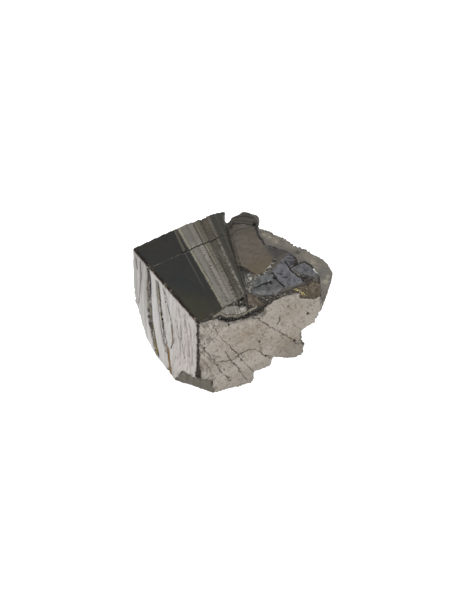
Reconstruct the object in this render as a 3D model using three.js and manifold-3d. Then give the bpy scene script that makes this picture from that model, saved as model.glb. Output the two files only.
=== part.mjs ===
// A broken piece of lustrous shungite, about as big as a small walnut.
// It is one solid: a block split along flat cleavage faces, with an upright
// near edge, a glassy top, a plateau with a horn, a lower ledge behind it,
// and a stepped underside. Millimetres, +Z up, the base on z = 0.

import * as THREE from 'three';
import { ConvexGeometry } from 'three/addons/geometries/ConvexGeometry.js';
import { mergeVertices } from 'three/addons/utils/BufferGeometryUtils.js';
import Module from 'manifold-3d';

const wasm = await Module();
wasm.setup();

// ---- driving dimensions -------------------------------------------------
const TOP = 14.0; // the glassy top above the base
const PLATEAU = 15.0; // the highest level, right of the valley
const LEDGE = 11.4; // the ledge behind the plateau
const NEAR = [-4.8, -14.3]; // plan place of the upright near edge
const FRONT_SLOPE = 0.418; // how far the front face goes back for each mm to the right
const LEFT_CORNER = [-14.7, 3.6]; // plan place of the far end of the left face
const UNDERCUT = THREE.MathUtils.degToRad(28); // slope of the layers under the front
const CLEAR = 3.0; // how far a cutter stands clear of what it cuts

// ---- helpers ------------------------------------------------------------

// A closed three.js geometry as a manifold solid.
function solidOf(geometry) {
  geometry.deleteAttribute('normal');
  geometry.deleteAttribute('uv');
  const merged = mergeVertices(geometry);
  return new wasm.Manifold(new wasm.Mesh({
    numProp: 3,
    vertProperties: new Float32Array(merged.attributes.position.array),
    triVerts: new Uint32Array(merged.index.array),
  }));
}

// The convex chunk that a set of corners spans.
function chunk(corners) {
  return solidOf(new ConvexGeometry(corners.map((corner) => new THREE.Vector3(...corner))));
}

// The chunk swept by a set of corners as they move along a step.
function swept(corners, step) {
  const moved = corners.map((corner) => corner.map((value, axis) => value + step[axis]));
  return chunk([...corners, ...moved]);
}

// A cutter that clears everything above a set of corners.
const above = (corners) => swept(corners, [0, 0, CLEAR]);

// The corner on the front face at a given x and z.
const onFront = (x, z) => [x, NEAR[1] + FRONT_SLOPE * (x - NEAR[0]), z];

// The corner on the left face's top edge at a given x.
function onLeftEdge(x, z) {
  const share = (x - NEAR[0]) / (LEFT_CORNER[0] - NEAR[0]);
  return [x, NEAR[1] + share * (LEFT_CORNER[1] - NEAR[1]), z];
}

// A V groove: a wedge along a line, open towards `out` and `depth` deep.
function groove(start, end, out, width, depth) {
  const line = new THREE.Vector3(...end).sub(new THREE.Vector3(...start));
  const outward = new THREE.Vector3(...out).normalize();
  const side = line.clone().cross(outward).setLength(width);
  const corners = [];
  for (const place of [start, end]) {
    const middle = new THREE.Vector3(...place);
    corners.push(middle.clone().addScaledVector(outward, -depth));
    for (const sign of [-1, 1]) {
      corners.push(middle.clone().addScaledVector(outward, depth).addScaledVector(side, sign));
    }
  }
  return chunk(corners.map((corner) => corner.toArray()));
}

// ---- the rough block ----------------------------------------------------

// The block before anything is chipped out of it: its cleavage faces are the
// faces of the chunk between these corners.
function roughBlock() {
  return chunk([
    // rim of the top, from the near edge clockwise as seen from above
    onFront(NEAR[0], TOP), [...LEFT_CORNER, TOP], [-8.3, 8.4, TOP], [-5.6, 10.8, TOP],
    [-3.3, 12.2, TOP], [-1.2, 13.1, TOP], [2.4, 11.8, PLATEAU], [3.9, 10.0, PLATEAU],
    [13.0, -2.8, PLATEAU], onFront(13.0, TOP - 0.6), onFront(9.0, PLATEAU),
    // corners between the rim and the base
    [...LEFT_CORNER, 6.6], [-14.3, 2.9, 4.0], onFront(NEAR[0], 3.5), onFront(10.7, 3.0),
    onFront(13.1, 10.5),
    [13.7, -0.9, 7.0], [15.3, 3.3, 9.5], [14.2, 5.8, LEDGE - 1.0], [4.2, 11.9, LEDGE],
    // the flat base
    [-12.9, -0.1, 0], [-11.3, -4.5, 0], [-8.2, -10.7, 0], onFront(-2.6, 0), onFront(2.7, 0), [8, -3, 0],
    [9.5, 3, 0], [5, 8, 0], [-1, 9.5, 0], [-7, 6.5, 0], [-10, 2, 0],
  ]);
}

// ---- what is broken out of it -------------------------------------------

// The glassy top lies lower than the plateau: clear all above it.
function aboveGlassyTop() {
  return above([
    onFront(-8, TOP), onFront(2.5, TOP), [2.9, -4.5, TOP], [0.8, 2.5, TOP], [-1.1, 9.5, TOP],
    [-1.1, 15, TOP], [-17, 15, TOP], [-17, -8, TOP],
  ]);
}

// The valley between the ribs and the plateau.
function valley() {
  return chunk([
    [-2.4, 12.9, TOP + 1.2], [-0.4, 12.9, TOP + 1.2], [0.9, 2.5, TOP + 1.2], [3.1, -5.2, TOP + 1.2],
    [1.6, -7.6, TOP + 1.2], [-0.9, 12.5, TOP - 0.5], [1.0, 0.5, TOP - 0.8], [2.2, -6.4, TOP - 0.5],
  ]);
}

// The brown slab: the plateau in front of the horn slopes down to the valley.
function aboveBrownSlab() {
  return above([
    [-1.2, 9.2, TOP + 0.4], [-0.3, 7.6, TOP + 0.4], [4.2, 8.3, PLATEAU - 0.2],
    [2.9, -5.0, TOP + 0.2], [9.9, 0.8, PLATEAU - 0.1], [5.0, 5.0, PLATEAU - 0.1],
  ]);
}

// The chipped blocks on the right of the plateau, a step below the brown slab.
function aboveChippedBlocks() {
  return above([
    [2.7, -4.4, TOP - 0.1], [5.9, -1.6, TOP + 0.2], [8.2, 0.5, TOP + 0.4], [10.4, 0.0, TOP + 0.5],
    [12.5, -0.6, TOP + 0.6], [13.8, -3.2, TOP + 0.6], [13.4, -5.4, TOP + 0.4],
    [10.6, -7.0, TOP + 0.4], [2.6, -8.0, TOP - 0.1],
  ]);
}

// The ledge behind the plateau: an upright break along the plateau's edge,
// down to a floor that falls to the right.
function aboveLedge() {
  const edge = [
    [3.7, 14], [3.9, 8.1], [4.1, 6.3], [4.6, 5.0], [5.1, 3.7], [6.1, 3.3], [7.3, 2.4], [8.4, 1.9],
    [9.8, 0.0], [9.4, -0.9], [10.9, -0.3], [11.8, -1.3], [12.8, -2.8], [13.1, -3.7], [13.1, -6.6],
    [20, -4], [20, 14],
  ];
  const shape = new THREE.Shape(edge.map(([x, y]) => new THREE.Vector2(x, y)));
  const cutter = new THREE.ExtrudeGeometry(shape, { depth: 2 * CLEAR, bevelEnabled: false });
  const fall = new THREE.Matrix4().makeBasis(
    new THREE.Vector3(1, 0, -0.11),
    new THREE.Vector3(0, 1, 0.05),
    new THREE.Vector3(0, 0, 1),
  );
  return solidOf(cutter.applyMatrix4(fall).translate(0, 0, LEDGE + 0.1));
}

// The V between the ribs and the horn at the back.
function notch() {
  return chunk([
    [-1.15, 14, 17], [-1.1, 9.9, 17], [-0.8, 9.2, 17], [1.2, 10.5, 17], [2.0, 14, 17],
    [-0.2, 14, 4],
  ]);
}

// The horn's rounded back corners.
function hornCorners() {
  return [
    swept([[0.9, 11.0, 9], [1.9, 12.0, 8], [0.6, 13.5, 8], [0.9, 11.0, 17], [1.9, 12.0, 17]], [0, 2, 0]),
    above([[3.1, 11.7, LEDGE], [4.0, 9.6, LEDGE], [5.5, 11.5, LEDGE], [4.0, 13.5, LEDGE]]),
  ];
}

// Layers split off the hidden back face, each a step deeper than the last.
function backLayers() {
  return [
    swept([
      [-14.4, 4.4, 6.0], [-9.6, 7.4, 9.2], [-3.6, 11.0, 8.0], [-1.0, 11.2, 3.0], [-3.0, 8.6, -1],
      [-10.5, 2.6, -1],
    ], [-2, CLEAR, 0]),
    swept([
      [-8.0, 6.6, 4.6], [-4.2, 9.4, 5.8], [0.6, 10.6, 4.2], [0.5, 8.6, -1], [-6.4, 5.2, -1],
    ], [-2, CLEAR, 0]),
  ];
}

// The hollow under the ledge at the back.
function backHollow() {
  return swept([
    [5.0, 10.6, 9.4], [9.4, 8.6, 9.6], [12.6, 5.8, 7.6], [9.6, 5.0, 3.4], [5.4, 7.4, 2.2],
    [8.4, 6.8, 6.2],
  ], [1.6, CLEAR, 0.5]);
}

// The layers that end in steps under the right of the front face. Each runs
// back and down under the stone.
function steppedUnderside() {
  const profile = [
    [2.7, -0.1], [3.3, 0.6], [3.5, 2.0], [5.3, 2.2], [6.1, 2.5], [6.1, 3.8], [9.1, 2.8],
    [10.4, 2.9], [10.7, 4.3], [10.2, 6.2], [10.3, 7.5], [12.3, 8.4], [13.0, 10.0], [20, 10.4],
    [20, -12], [2.7, -12],
  ];
  const depth = 24;
  const shape = new THREE.Shape(profile.map(([x, z]) => new THREE.Vector2(x, z)));
  const cutter = new THREE.ExtrudeGeometry(shape, { depth: depth + 2, bevelEnabled: false });
  const outward = new THREE.Vector3(FRONT_SLOPE, -1, 0).setLength(Math.cos(UNDERCUT));
  outward.z = Math.sin(UNDERCUT);
  const frame = new THREE.Matrix4().makeBasis(
    new THREE.Vector3(1, FRONT_SLOPE, 0),
    new THREE.Vector3(0, 0, 1),
    outward,
  );
  const start = new THREE.Vector3(...onFront(0, 0)).addScaledVector(outward, -depth);
  return solidOf(cutter.applyMatrix4(frame.setPosition(start)));
}

// The grey facet that takes the bottom off the near edge.
function nearEdgeFacet() {
  return swept([
    [-7.0, -11.5, 3.0], onFront(NEAR[0], 3.5), onFront(-2.7, 2.5),
    [-8.2, -10.6, -0.1], [-5.4, -11.9, -0.1], onFront(-2.5, -0.1),
  ], [-1.5, -2.5, 0]);
}

// The shell-like hollow broken out of the front edge of the top.
function shellHollow() {
  return above([
    onFront(-2.3, TOP), [-0.8, -10.4, TOP], [2.2, -7.8, TOP - 0.2], [4.9, -8.4, TOP - 0.2],
    onFront(5.3, TOP), onFront(3.6, TOP - 0.9), onFront(-0.4, TOP - 1.3), [-0.5, -13.6, TOP - 1.5],
    [3.8, -12.0, TOP - 1.1], [1.2, -10.4, TOP - 1.3],
  ]);
}

// The brown hollow at the right end of the front edge.
function brownHollow() {
  return above([
    [11.0, -4.4, TOP + 0.2], [13.4, -3.9, TOP], onFront(13.4, TOP - 0.7), onFront(10.0, TOP - 0.2),
    [9.3, -6.5, TOP], [11.8, -6.0, TOP - 1.2], [12.4, -8.4, TOP - 0.9],
  ]);
}

// The grooves down the left face, one dark and deep and two lighter ones.
function leftGrooves() {
  const out = [LEFT_CORNER[1] - NEAR[1], NEAR[0] - LEFT_CORNER[0], 0].map((value) => -value);
  return [
    groove(onLeftEdge(-12.4, TOP + 1), [-12.0, -1.7, 5.6], out, 0.6, 0.4),
    groove([-12.0, -1.7, 5.6], [-11.1, -4.8, -1], out, 0.6, 0.4),
    groove(onLeftEdge(-11.0, TOP + 1), [-9.0, -8.7, -1], out, 0.4, 0.3),
    groove(onLeftEdge(-10.0, TOP + 0.5), [-8.7, -8.8, 3.5], out, 0.35, 0.25),
  ];
}

// Shallow steps between the ribs on the top, which close up to the front.
function ribSteps() {
  const up = [0, 0, 1];
  return [
    groove([-8.4, 9.0, TOP], [-0.7, -10.8, TOP], up, 0.25, 0.18),
    groove([-5.8, 11.4, TOP], [1.0, -8.6, TOP], up, 0.35, 0.25),
    groove([-3.5, 12.6, TOP], [1.6, -8.2, TOP], up, 0.35, 0.3),
  ];
}

// The rough trough behind the thin rim of the front face.
function rimTrough() {
  const behindRim = (x, z, back) => {
    const corner = onFront(x, z);
    return [corner[0], corner[1] + back, corner[2]];
  };
  return above([
    behindRim(3.6, TOP - 0.7, 0.3), behindRim(6.4, TOP + 0.4, 0.5), behindRim(9.6, TOP + 0.7, 0.5),
    [9.9, -6.4, TOP + 0.3], [8.6, -5.8, TOP + 0.2], [2.9, -7.0, TOP - 0.2],
    [4.6, -8.8, TOP - 0.9], [7.2, -7.6, TOP + 0.1],
  ]);
}

// ---- the stone ----------------------------------------------------------

function makeStone() {
  const cutters = [
    aboveGlassyTop(), valley(), aboveBrownSlab(), aboveChippedBlocks(), aboveLedge(), notch(),
    ...hornCorners(), ...backLayers(), backHollow(), steppedUnderside(), nearEdgeFacet(),
    shellHollow(), brownHollow(),
    ...leftGrooves(), ...ribSteps(), rimTrough(),
  ];
  const solid = cutters.reduce((stone, cutter) => stone.subtract(cutter), roughBlock());
  const { vertProperties, triVerts } = solid.getMesh();
  const geometry = new THREE.BufferGeometry();
  geometry.setAttribute('position', new THREE.BufferAttribute(new Float32Array(vertProperties), 3));
  geometry.setIndex(new THREE.BufferAttribute(new Uint32Array(triVerts), 1));
  geometry.computeVertexNormals();
  return geometry;
}

// The origin goes to the middle of the stone's bottom.
function standOnOrigin(geometry) {
  geometry.computeBoundingBox();
  const { min, max } = geometry.boundingBox;
  return geometry.translate(-(min.x + max.x) / 2, -(min.y + max.y) / 2, -min.z);
}

const shungite = new THREE.MeshStandardMaterial({
  color: 0x4b4843,
  roughness: 0.3,
  metalness: 0.45,
});

const stone = new THREE.Mesh(standOnOrigin(makeStone()), shungite);
stone.name = 'shungite_stone';

const group = new THREE.Group();
group.add(stone);

export default group;
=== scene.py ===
import math

import bpy
import numpy as np
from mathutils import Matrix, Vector, noise


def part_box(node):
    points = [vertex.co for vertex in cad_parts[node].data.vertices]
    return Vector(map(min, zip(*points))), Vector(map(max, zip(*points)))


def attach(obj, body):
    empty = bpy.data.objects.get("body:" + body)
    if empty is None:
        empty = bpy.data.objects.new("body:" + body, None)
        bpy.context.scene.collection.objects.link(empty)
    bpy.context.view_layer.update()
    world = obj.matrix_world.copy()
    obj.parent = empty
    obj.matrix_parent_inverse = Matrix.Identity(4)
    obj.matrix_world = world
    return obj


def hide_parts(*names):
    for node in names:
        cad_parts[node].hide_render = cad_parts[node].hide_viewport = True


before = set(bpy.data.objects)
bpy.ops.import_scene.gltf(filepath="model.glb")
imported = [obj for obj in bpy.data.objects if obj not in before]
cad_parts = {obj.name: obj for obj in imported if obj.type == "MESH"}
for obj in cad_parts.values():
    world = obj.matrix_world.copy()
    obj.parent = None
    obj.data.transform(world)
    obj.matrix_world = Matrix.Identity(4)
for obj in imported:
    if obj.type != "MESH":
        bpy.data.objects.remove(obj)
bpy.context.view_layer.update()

# ---- The stone's body ----------------------------------------------------
# One broken block of lustrous shungite, a glassy mineral that is nearly all
# carbon. The block's own faces come from the frame, and are made dense enough
# here to carry the grooves, ribs, chips and cracks that the next sections cut.

MM = 0.001
TOP = 14.0  # height of the glassy top, in mm
NEAR_EDGE = (-4.8, -14.3)  # plan place of the upright near edge, in mm
LEFT_END = (-14.7, 3.6)  # plan place of the far end of the left face, in mm
FRONT_SLOPE = 0.418  # how far the front face goes back for each mm to the right
VOXEL = 0.25  # spacing of the surface's points, in mm

cad_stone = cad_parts["shungite_stone"]
low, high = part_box("shungite_stone")
# the stone is drawn with its left end and near edge at the places above
shift = np.array([low[0] / MM - LEFT_END[0], low[1] / MM - NEAR_EDGE[1], low[2] / MM])


def pick(*chosen):
    """Selects only these objects and makes the first one active."""
    bpy.ops.object.select_all(action="DESELECT")
    for item in chosen:
        item.select_set(True)
    bpy.context.view_layer.objects.active = chosen[0]


def merged_copy(name):
    """A copy of the CAD solid with its loose triangles joined."""
    copy = bpy.data.objects.new(name, cad_stone.data.copy())
    bpy.context.scene.collection.objects.link(copy)
    pick(copy)
    bpy.ops.object.mode_set(mode="EDIT")
    bpy.ops.mesh.select_all(action="SELECT")
    bpy.ops.mesh.remove_doubles(threshold=0.001 * MM)
    bpy.ops.object.mode_set(mode="OBJECT")
    return copy


guide = merged_copy("shungite_guide")
stone = merged_copy("shungite_surface")
stone.data.materials.clear()
remesh = stone.modifiers.new("even points", "REMESH")
remesh.mode = "VOXEL"
remesh.voxel_size = VOXEL * MM
bpy.ops.object.modifier_apply(modifier=remesh.name)
wrap = stone.modifiers.new("back onto the faces", "SHRINKWRAP")
wrap.target = guide
bpy.ops.object.modifier_apply(modifier=wrap.name)


def points_of(mesh):
    """The mesh's points in mm, as the stone is drawn."""
    flat = np.empty(len(mesh.vertices) * 3)
    mesh.vertices.foreach_get("co", flat)
    return flat.reshape(-1, 3) / MM - shift


def normals_of(mesh):
    """The outward direction at each of the mesh's points."""
    flat = np.empty(len(mesh.vertices) * 3)
    mesh.vertex_normals.foreach_get("vector", flat)
    return flat.reshape(-1, 3)


def step_up(value, start, end):
    """0 below start, 1 above end, smooth between."""
    t = np.clip((value - start) / (end - start), 0, 1)
    return t * t * (3 - 2 * t)


def step_down(value, start, end):
    """1 below start, 0 above end, smooth between."""
    return 1 - step_up(value, start, end)


def within(value, start, end, soft):
    """1 between start and end, fading over `soft` on both sides."""
    return step_up(value, start - soft, start + soft) * step_down(value, end - soft, end + soft)


front_out = np.array([FRONT_SLOPE, -1, 0]) / math.hypot(1, FRONT_SLOPE)
left_run = np.array([LEFT_END[0] - NEAR_EDGE[0], LEFT_END[1] - NEAR_EDGE[1], 0])
left_run /= np.linalg.norm(left_run)
left_out = np.array([-left_run[1], left_run[0], 0])
near_point = np.array([*NEAR_EDGE, 0])

# the left face bows gently, so its crease is eased before anything is cut in
# it, and the edges of the plateau and the horn are a little worn
points = points_of(stone.data)
from_edge = (points - near_point) @ left_run
outward = (points - near_point) @ left_out
x, y, z = points.T
bowed = (from_edge > 0.5) & (from_edge < 8.5) & (outward > -1.3) & (z > 0.7) & (z < 13.5)
bowed &= (z > 3.5) | (from_edge > 5.4)  # not the facet at the near edge's foot


def wear_down(chosen, rounds):
    """Rounds off the surface between the chosen points."""
    group = stone.vertex_groups.new(name="worn")
    group.add(np.flatnonzero(chosen).tolist(), 1.0, "REPLACE")
    ease = stone.modifiers.new("worn", "SMOOTH")
    ease.factor = 0.5
    ease.iterations = rounds
    ease.vertex_group = group.name
    bpy.ops.object.modifier_apply(modifier=ease.name)
    stone.vertex_groups.clear()


wear_down(bowed, rounds=120)
wear_down((z > 12.6) & ((near_point - points) @ front_out > 0.4) & (x > 0.5 - 0.27 * y), rounds=5)
wear_down((z > 11.8) & (x > -0.6) & (x < 5.0) & (y > 10.0), rounds=10)

# ---- Where the cracks and grooves lie ------------------------------------
# The mineral splits along flat cleavage faces, and each split left its lines.
# They are drawn in mm: x and y on the top, x and height on the front, and
# distance from the near edge and height on the left face.

MAIN_CRACK = [
    (-7.3, 2.3), (-6.5, 3.0), (-5.7, 3.7), (-4.6, 4.6), (-3.9, 5.1), (-2.7, 6.0), (-1.2, 6.9),
    (-0.85, 6.9), (0.15, 7.25), (1.75, 7.95), (3.2, 8.2), (3.6, 8.4),
]
HAIRLINE = [(-11.5, -0.9), (-9.4, 0.7), (-7.3, 2.3)]
SLAB_LINES = [
    [(-8.6, 8.2), (-7.1, 3.1), (-4.5, -4.6), (-3.6, -7.0)],
    [(-8.35, 8.2), (-6.85, 3.1)],
]
BLOCK_CUTS = [
    [(6.1, -2.4), (6.9, -4.5), (7.9, -5.9)],
    [(3.5, -5.8), (5.0, -4.9), (6.0, -4.4)],
    [(8.0, -0.1), (9.0, -2.6), (10.9, -4.7)],
    [(8.9, -1.6), (9.5, -1.2), (10.1, -0.7)],
]
HORN_LINES = [[(-0.5, 9.05), (1.0, 8.85), (3.6, 8.35)], [(0.6, 10.2), (2.0, 10.4), (3.4, 9.8)]]
FRONT_CRACKS = [
    [(-2.6, 12.6), (-2.0, 11.3), (-1.2, 9.7), (-0.2, 8.1), (0.8, 6.5), (1.8, 4.6), (3.0, 2.6), (3.9, 1.5)],
    [(-4.4, 9.8), (-3.3, 7.7), (-2.6, 6.3), (-2.1, 5.2), (-1.5, 3.8), (-0.6, 2.6), (-0.1, 1.4)],
    [(-1.0, 7.4), (0.2, 5.1), (0.8, 3.9), (1.8, 1.9), (2.4, 0.7)],
    [(-2.0, 5.8), (-1.0, 5.5), (0.0, 5.3), (0.6, 5.6), (1.5, 6.2), (2.6, 6.45), (3.6, 6.2), (4.7, 5.0),
     (5.8, 3.9)],
    [(2.6, 12.7), (3.7, 12.0), (4.8, 11.0), (5.7, 9.8), (6.7, 8.8), (7.9, 7.6), (9.0, 6.2), (10.0, 5.1)],
    [(7.2, 11.2), (7.2, 10.6), (6.8, 9.9)],
]
FRONT_PITS = [
    (-0.3, 12.1, 0.2), (-0.7, 12.0, 0.12), (11.3, 10.4, 0.2), (8.3, 12.7, 0.12), (4.7, 8.6, 0.12),
    (4.2, 7.5, 0.14), (-2.0, 5.2, 0.12), (5.1, 4.5, 0.16), (9.4, 5.9, 0.18), (-1.0, 3.9, 0.1),
]
DEEP_GROOVE = [
    (15.4, 13.4), (14.7, 11.8), (14.3, 9.5), (14.0, 7.5), (13.7, 5.6), (13.0, 4.3), (12.1, 2.3), (11.1, 0.4),
]
MIDDLE_GROOVE = [
    (12.5, 13.2), (11.6, 10.9), (10.75, 8.9), (9.9, 6.8), (8.7, 4.9), (7.9, 3.4), (7.1, 1.5), (6.5, 0.3),
]
NEAR_GROOVE = [
    (10.7, 13.3), (9.7, 12.2), (9.0, 11.0), (7.9, 9.8), (7.3, 8.3), (6.8, 7.0), (6.5, 6.1), (7.1, 4.5),
]
FAINT_GROOVES = [
    [(17.8, 13.3), (17.4, 10.7), (17.6, 8.9), (18.1, 6.5), (18.7, 4.9)],
    [(19.2, 12.8), (18.9, 11.3)],
    [(12.9, 13.0), (11.9, 10.1), (10.6, 6.7), (9.4, 3.9)],
    [(6.0, 12.9), (4.9, 11.4), (4.0, 7.6), (3.0, 5.6)],
    [(5.8, 9.7), (4.6, 7.2), (4.0, 4.9)],
    [(2.4, 12.3), (1.3, 9.4), (1.2, 5.4)],
    [(4.0, 12.7), (2.5, 9.9), (1.9, 6.6)],
]


def line_gap(across, along, line):
    """Distance in mm from each point of a face to a line drawn on it."""
    nearest = np.full(len(across), 99.0)
    for (x0, y0), (x1, y1) in zip(line, line[1:]):
        dx, dy = x1 - x0, y1 - y0
        share = np.clip(((across - x0) * dx + (along - y0) * dy) / (dx * dx + dy * dy), 0, 1)
        gap = np.hypot(across - x0 - share * dx, along - y0 - share * dy)
        nearest = np.minimum(nearest, gap)
    return nearest


def nearest_line(across, along, lines):
    """Distance in mm to the nearest of several lines."""
    return np.min([line_gap(across, along, line) for line in lines], axis=0)


def grain(places, stretch, seed):
    """Smooth noise from -1 to 1, with `stretch` cycles in each mm, or one number for each axis."""
    scaled = places * np.array(stretch) + seed
    return np.array([noise.noise(place) for place in scaled.tolist()])


def read_places():
    """Reads where each point lies and how much it belongs to each face."""
    global points, normals, x, y, z, from_edge, top, front, left, wander
    points = points_of(stone.data)
    normals = normals_of(stone.data)
    x, y, z = points.T
    from_edge = (points - near_point) @ left_run
    behind_front = (near_point - points) @ front_out
    behind_left = (near_point - points) @ left_out
    front = step_up(normals @ front_out, 0.72, 0.88) * step_down(behind_front, 0.15, 0.35)
    left = step_up(normals @ left_out, 0.68, 0.85) * step_down(behind_left, 0.9, 1.3)
    top = step_up(normals[:, 2], 0.15, 0.4) * step_up(z, 12.3, 12.7) * (1 - left)
    wander = grain(points, 1.6, 3.0) * 0.1 + grain(points, 4.1, 7.0) * 0.04


def gap_on_top(*lines):
    """Distance in mm to the nearest of some lines on the top, which wander a little."""
    return nearest_line(x + wander, y + wander, lines)


def split_faces(chosen):
    """Splits each face between the chosen points in four."""
    bpy.ops.object.mode_set(mode="EDIT")
    bpy.ops.mesh.select_mode(type="VERT")
    bpy.ops.mesh.select_all(action="DESELECT")
    bpy.ops.object.mode_set(mode="OBJECT")
    stone.data.vertices.foreach_set("select", chosen)
    bpy.ops.object.mode_set(mode="EDIT")
    bpy.ops.mesh.select_mode(type="FACE")
    bpy.ops.mesh.subdivide(number_cuts=1)
    bpy.ops.object.mode_set(mode="OBJECT")


def near_lines(reach):
    """The points within `reach` mm of a line on their own face."""
    on_top = gap_on_top(MAIN_CRACK, HAIRLINE, *SLAB_LINES, *BLOCK_CUTS) < reach
    on_front = nearest_line(x + wander * 2, z + wander * 2, FRONT_CRACKS) < reach
    for across, height, width in FRONT_PITS:
        on_front |= np.hypot(x - across, z - height) < width + reach
    on_left = nearest_line(from_edge, z, [DEEP_GROOVE, MIDDLE_GROOVE, NEAR_GROOVE]) < reach + 0.4
    on_left |= nearest_line(from_edge, z, FAINT_GROOVES) < reach
    return (on_top & (top > 0.2)) | (on_front & (front > 0.2)) | (on_left & (left > 0.2))


# more points on the top and its broken edge, and again along the lines
read_places()
rib_side = -8.3 - 0.358 * (y - 8.5)  # just left of the ribs
near_edge = np.hypot(x - NEAR_EDGE[0], y - NEAR_EDGE[1]) < 0.9
rim = (z > 12.2) & (x > -5.2) & ((near_point - points) @ front_out < 1.2)
split_faces(((z > 12.2) & (x > rib_side) & (normals[:, 2] > 0.1)) | near_edge | rim | near_lines(0.35))
read_places()
split_faces(near_lines(0.12))
read_places()

# ---- How the stone is cut and coloured -----------------------------------
# Shungite is near black where it is glassy and grey like pewter where a split
# face mirrors the light. Each section below raises or cuts the surface and
# gives its own colour, roughness and metallic shine to its part of it.


def colour(red, green, blue):
    """An sRGB colour, 0 to 255, as linear values."""
    return np.array([((c / 255 + 0.055) / 1.055) ** 2.4 for c in (red, green, blue)])


lift = np.zeros(len(points))  # how far each point moves outward, in mm
tint = np.tile(colour(92, 88, 82), (len(points), 1))
matt = np.full(len(points), 0.42)
metal = np.full(len(points), 0.6)


def paint(share, shade, roughness, metallic):
    """Blends a finish over the stone where share is 1."""
    global tint, matt, metal
    share = np.clip(share, 0, 1)
    tint = tint * (1 - share[:, None]) + colour(*shade) * share[:, None]
    matt = matt * (1 - share) + roughness * share
    metal = metal * (1 - share) + metallic * share


def relief(share, height, shade, roughness, metallic, strength=1.0):
    """Raises a share by `height` mm, or cuts it in where that is below 0, and paints it."""
    global lift
    lift = lift + share * height
    paint(share * strength, shade, roughness, metallic)


def inside(outline, soft=0.1, across=None, along=None):
    """1 inside an outline drawn on a face, fading over `soft` mm at its edge."""
    across = x + wander if across is None else across
    along = y + wander if along is None else along
    edge = outline + outline[:1]
    held = np.zeros(len(across), bool)
    for (x0, y0), (x1, y1) in zip(edge, edge[1:]):
        lean = (x1 - x0) / (y1 - y0) if y1 != y0 else 0.0
        held ^= ((y0 > along) != (y1 > along)) & (across < x0 + (along - y0) * lean)
    gap = line_gap(across, along, edge)
    return step_up(np.where(held, gap, -gap), -soft, soft)


def border(share):
    """1 along the soft edge of a share, 0 inside and outside it."""
    return 4 * share * (1 - share)


# ---- The rough hidden sides ----------------------------------------------
# The back, the right side and the underside broke across the layers. They are
# shelly and stepped, dull on the ridges and glassy in the hollows.

on_base = step_up(-normals[:, 2], 0.9, 0.97) * step_down(z, 0.02, 0.1)
hidden = np.clip(1 - front - left - top - on_base, 0, 1)
layer_places = np.column_stack([x * 0.9 + y * 0.2, y * 0.9 - x * 0.2, z + 0.22 * x])
waves = grain(layer_places, (0.16, 0.16, 0.34), 21.0)
depth_in_layers = layer_places[:, 2] / 1.9 + waves * 1.6 + grain(points, 0.7, 22.0) * 0.18
layer_share = depth_in_layers - np.floor(depth_in_layers)
layer_height = step_up(layer_share, 0.0, 0.8) * step_down(layer_share, 0.8, 1.0)
layer_tone = grain(np.column_stack([np.floor(depth_in_layers) * 7.3, x, y]), (1.0, 0.12, 0.12), 23.0)
crumbs = grain(points, 1.3, 11.0) * 0.6 + grain(points, 3.1, 12.0) * 0.4
fine_lines = grain(layer_places, (0.3, 0.3, 3.6), 24.0)
lift += hidden * (waves * 0.35 + (layer_height - 0.5) * 0.26 + crumbs * 0.06 + fine_lines * 0.03)
paint(hidden, (84, 80, 75), 0.36, 0.6)
paint(hidden * step_up(layer_tone, -0.05, 0.3) * 0.8, (112, 107, 100), 0.34, 0.75)
paint(hidden * step_up(-layer_tone, 0.05, 0.35) * 0.8, (56, 54, 52), 0.24, 0.35)
paint(hidden * step_up(fine_lines, 0.1, 0.4) * 0.3, (60, 56, 51), 0.5, 0.4)
shadowed = within(layer_share, 0.8, 0.98, 0.08) * step_up(grain(points, 0.4, 26.0), -0.3, 0.1)
paint(hidden * shadowed * 0.7, (46, 42, 37), 0.6, 0.5)
paint(hidden * step_up(crumbs, 0.28, 0.45) * 0.4, (126, 120, 111), 0.45, 0.6)
rusty = grain(points, 0.25, 25.0)
paint(hidden * step_up(rusty, 0.15, 0.5) * 0.3, (104, 88, 66), 0.6, 0.3)
paint(on_base, (84, 80, 75), 0.5, 0.5)

# ---- The left face -------------------------------------------------------
# A bright split face. Upright grooves run down it where thin laths pulled
# away, the deepest with a yellow-brown wall, and fine streaks run between them.
# Each groove has painted shade on its near side.

face_places = np.column_stack([from_edge, z, y * 0])
sway = grain(face_places, (0.9, 0.5, 0.0), 31.0) * 0.12 + grain(face_places, (4.0, 2.0, 0.0), 32.0) * 0.05
laths = grain(face_places, (1.1, 0.07, 0.0), 33.0)
fine = grain(face_places, (3.4, 0.3, 0.0), 34.0)
near_lath = left * step_down(from_edge + sway * 3, 6.0, 7.5)
lift += left * laths * 0.1 + near_lath * fine * 0.06
paint(left, (151, 148, 144), 0.32, 0.92)
# painted light and shade: each lath lighter where it stands out, darker and bluer where it sinks
paint(left * step_up(laths, 0.0, 0.35) * 0.5, (156, 154, 151), 0.3, 0.92)
paint(left * step_up(-laths, 0.1, 0.4) * 0.35, (134, 132, 132), 0.4, 0.9)
paint(near_lath * 0.8, (160, 153, 149), 0.42, 0.9)
paint(near_lath * step_up(fine, 0.15, 0.4) * 0.3, (104, 96, 90), 0.5, 0.8)
paint(left * step_up(from_edge, 14.4, 15.6) * 0.9, (131, 128, 123), 0.36, 0.9)
paint(left * step_up(from_edge, 18.6, 20.2) * 0.7, (110, 107, 98), 0.4, 0.8)
streaky = near_lath + left * 0.12  # where the shader draws fine upright streaks


def beside(line):
    """How far points lie to the far side of a groove, and where it runs."""
    places, heights = zip(*reversed(line))
    gap = from_edge + sway - np.interp(z, heights, places)
    return gap, left * within(z, heights[0], heights[-1], 0.3)
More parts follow.
